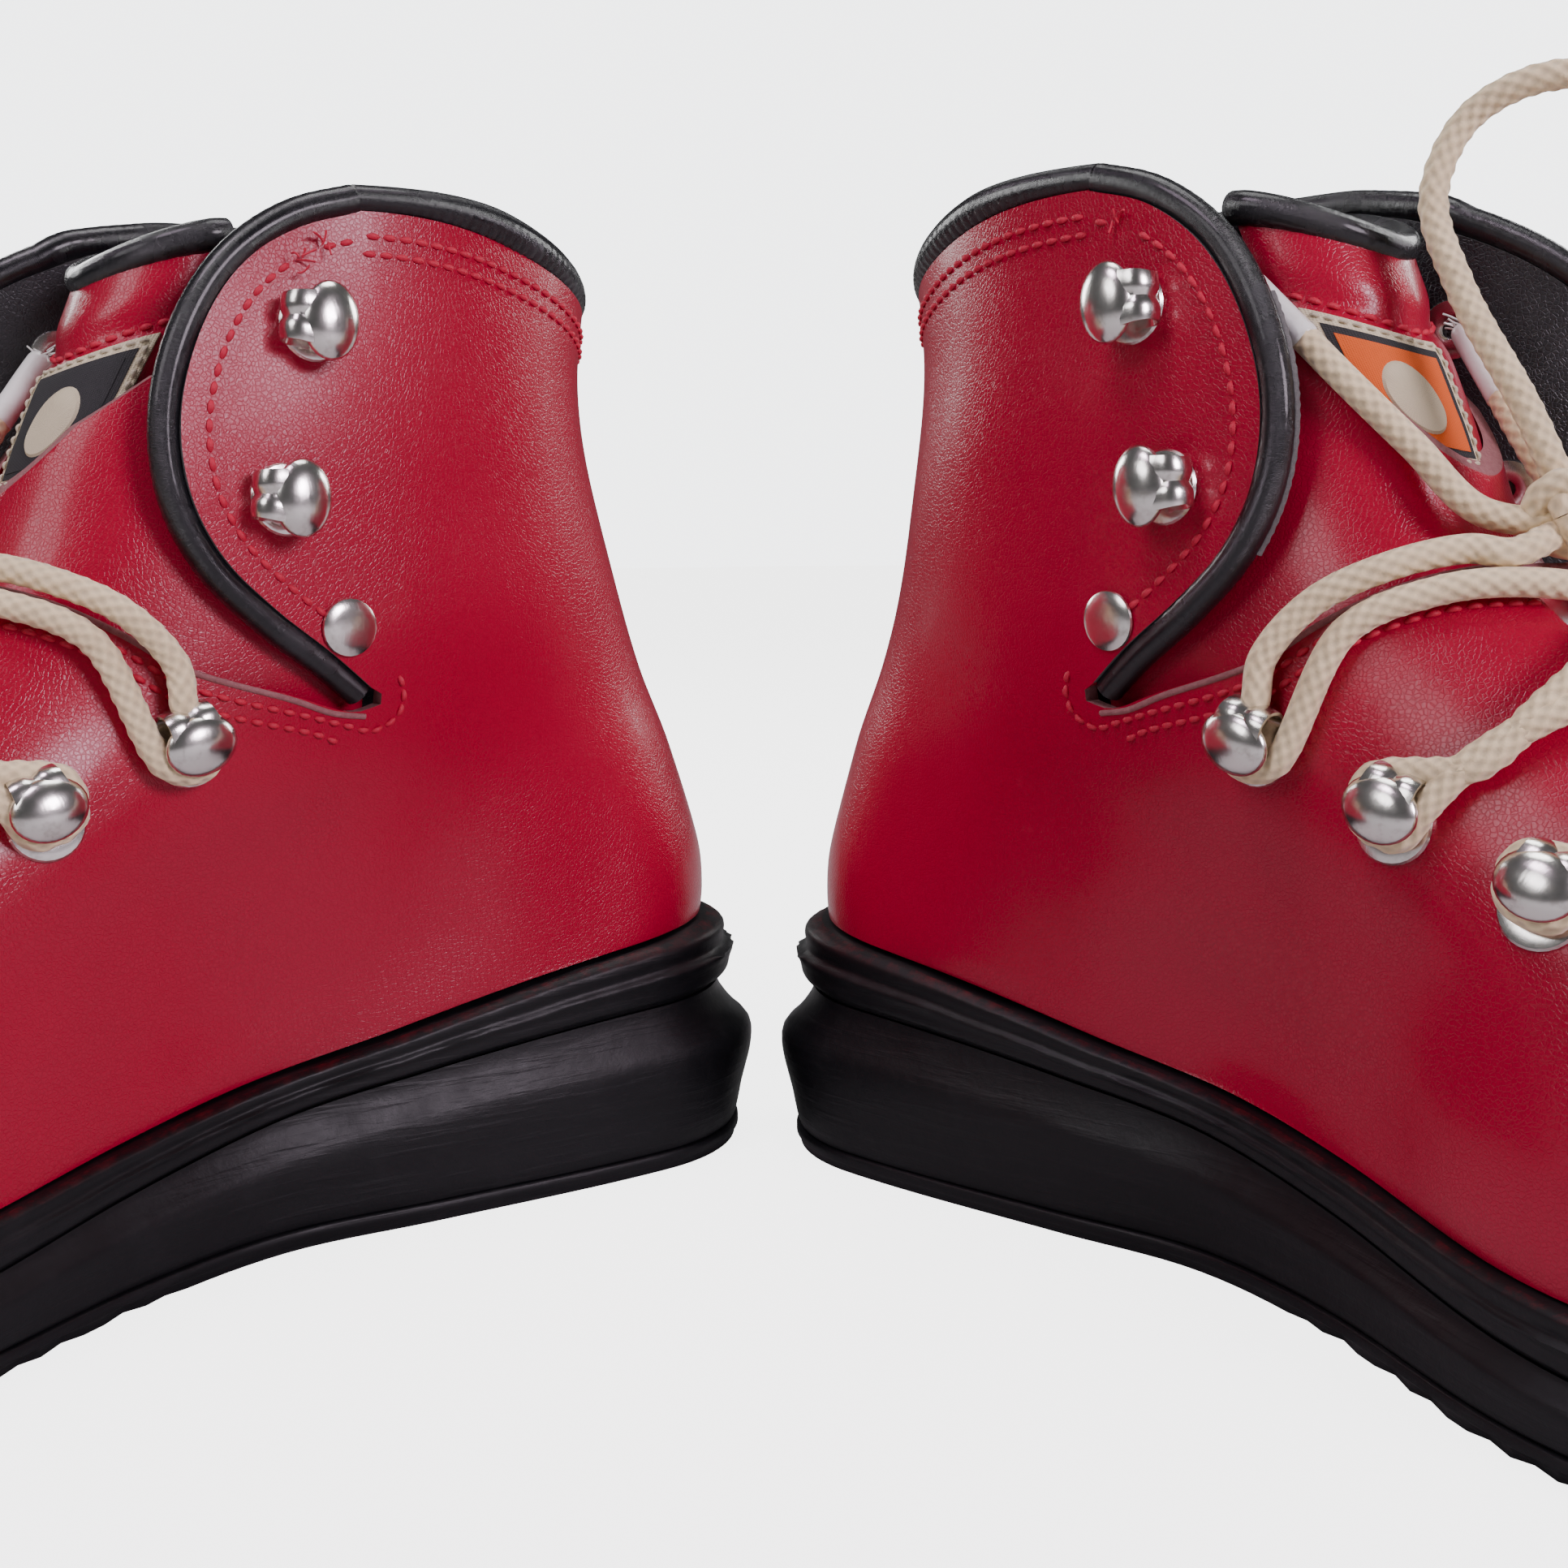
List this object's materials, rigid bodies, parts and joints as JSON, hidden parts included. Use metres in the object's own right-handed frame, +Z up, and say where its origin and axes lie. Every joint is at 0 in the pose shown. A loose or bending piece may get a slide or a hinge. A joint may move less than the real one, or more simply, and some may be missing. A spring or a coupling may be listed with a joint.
{
  "type": "pair of lace-up leather ski boots",
  "caption": "Pair of vintage red leather lace-up alpine ski boots with black piping, cuff flaps, speed hooks, cream laces and a rubber sole with a raised heel.",
  "frame": {"origin": "middle of the pair on the floor", "axes": "+X from the right boot to the left boot, +Y from the toes towards the heels, +Z up"},
  "size_m": [0.449, 0.2114, 0.1917],
  "materials": {
    "rubber": "smooth black rubber, satin",
    "insole_board": "worn plain insole",
    "red_leather": "smooth-grain crimson leather with a soft sheen",
    "black_leather": "glossy black piping",
    "black_lining": "black lining and collar roll",
    "nickel": "polished nickel, slightly dulled",
    "lace": "braided cream cotton",
    "aglet": "white plastic sleeve"
  },
  "bodies": {
    "right_foot": {"right_outsole": "rubber", "right_wedge_midsole": "rubber", "right_welt": "rubber", "right_insole": "insole_board", "right_upper": "red_leather", "right_lining": "black_lining", "right_gusset": "red_leather", "right_lacing": "lace", "right_lace_bow": "lace", "right_aglet_1": "aglet", "right_aglet_2": "aglet", "right_inner_lower_hook_1": "nickel", "right_inner_lower_hook_2": "nickel", "right_inner_lower_hook_3": "nickel", "right_inner_lower_hook_4": "nickel", "right_outer_lower_hook_1": "nickel", "right_outer_lower_hook_2": "nickel", "right_outer_lower_hook_3": "nickel", "right_outer_lower_hook_4": "nickel"},
    "right_inner_flap": {"right_inner_flap": "red_leather", "right_inner_flap_piping": "black_leather", "right_inner_cuff_hook_1": "nickel", "right_inner_cuff_hook_2": "nickel", "right_inner_rivet": "nickel"},
    "right_outer_flap": {"right_outer_flap": "red_leather", "right_outer_flap_piping": "black_leather", "right_outer_cuff_hook_1": "nickel", "right_outer_cuff_hook_2": "nickel", "right_outer_rivet": "nickel"},
    "right_tongue": {"right_tongue": "red_leather"},
    "left_foot": {"left_outsole": "rubber", "left_wedge_midsole": "rubber", "left_welt": "rubber", "left_insole": "insole_board", "left_upper": "red_leather", "left_lining": "black_lining", "left_gusset": "red_leather", "left_lacing": "lace", "left_lace_bow": "lace", "left_aglet_1": "aglet", "left_aglet_2": "aglet", "left_inner_lower_hook_1": "nickel", "left_inner_lower_hook_2": "nickel", "left_inner_lower_hook_3": "nickel", "left_inner_lower_hook_4": "nickel", "left_outer_lower_hook_1": "nickel", "left_outer_lower_hook_2": "nickel", "left_outer_lower_hook_3": "nickel", "left_outer_lower_hook_4": "nickel"},
    "left_inner_flap": {"left_inner_flap": "red_leather", "left_inner_flap_piping": "black_leather", "left_inner_cuff_hook_1": "nickel", "left_inner_cuff_hook_2": "nickel", "left_inner_rivet": "nickel"},
    "left_outer_flap": {"left_outer_flap": "red_leather", "left_outer_flap_piping": "black_leather", "left_outer_cuff_hook_1": "nickel", "left_outer_cuff_hook_2": "nickel", "left_outer_rivet": "nickel"},
    "left_tongue": {"left_tongue": "red_leather"}
  },
  "joints": [
    {"name": "right_inner_flap_fold", "type": "hinge", "parent": "right_foot", "child": "right_inner_flap", "pos_m": [-0.05797, 0.007, 0.138], "axis": [0, 0, 1], "range_deg": [0, 40], "stiffness_Nm_per_rad": 0.15},
    {"name": "right_outer_flap_fold", "type": "hinge", "parent": "right_foot", "child": "right_outer_flap", "pos_m": [-0.11459, 0.04401, 0.138], "axis": [-0.0203, 0.0217, -0.9996], "range_deg": [0, 35], "stiffness_Nm_per_rad": 0.15},
    {"name": "right_tongue_fold", "type": "hinge", "parent": "right_foot", "child": "right_tongue", "pos_m": [-0.16982, -0.05207, 0.0695], "axis": [-0.6839, 0.7296, 0], "range_deg": [0, 7], "stiffness_Nm_per_rad": 0.6, "springref_deg": -5.73},
    {"name": "left_inner_flap_fold", "type": "hinge", "parent": "left_foot", "child": "left_inner_flap", "pos_m": [0.05797, 0.007, 0.138], "axis": [0, 0, -1], "range_deg": [0, 40], "stiffness_Nm_per_rad": 0.15},
    {"name": "left_outer_flap_fold", "type": "hinge", "parent": "left_foot", "child": "left_outer_flap", "pos_m": [0.11459, 0.04401, 0.138], "axis": [-0.0203, -0.0217, 0.9996], "range_deg": [0, 35], "stiffness_Nm_per_rad": 0.15},
    {"name": "left_tongue_fold", "type": "hinge", "parent": "left_foot", "child": "left_tongue", "pos_m": [0.16982, -0.05207, 0.0695], "axis": [-0.6839, -0.7296, 0], "range_deg": [0, 7], "stiffness_Nm_per_rad": 0.6, "springref_deg": -5.73},
    {"name": "left_boot_lift", "type": "slide", "parent": "right_foot", "child": "left_foot", "axis": [0, 0, 1], "range_m": [0, 0.25]}
  ]
}
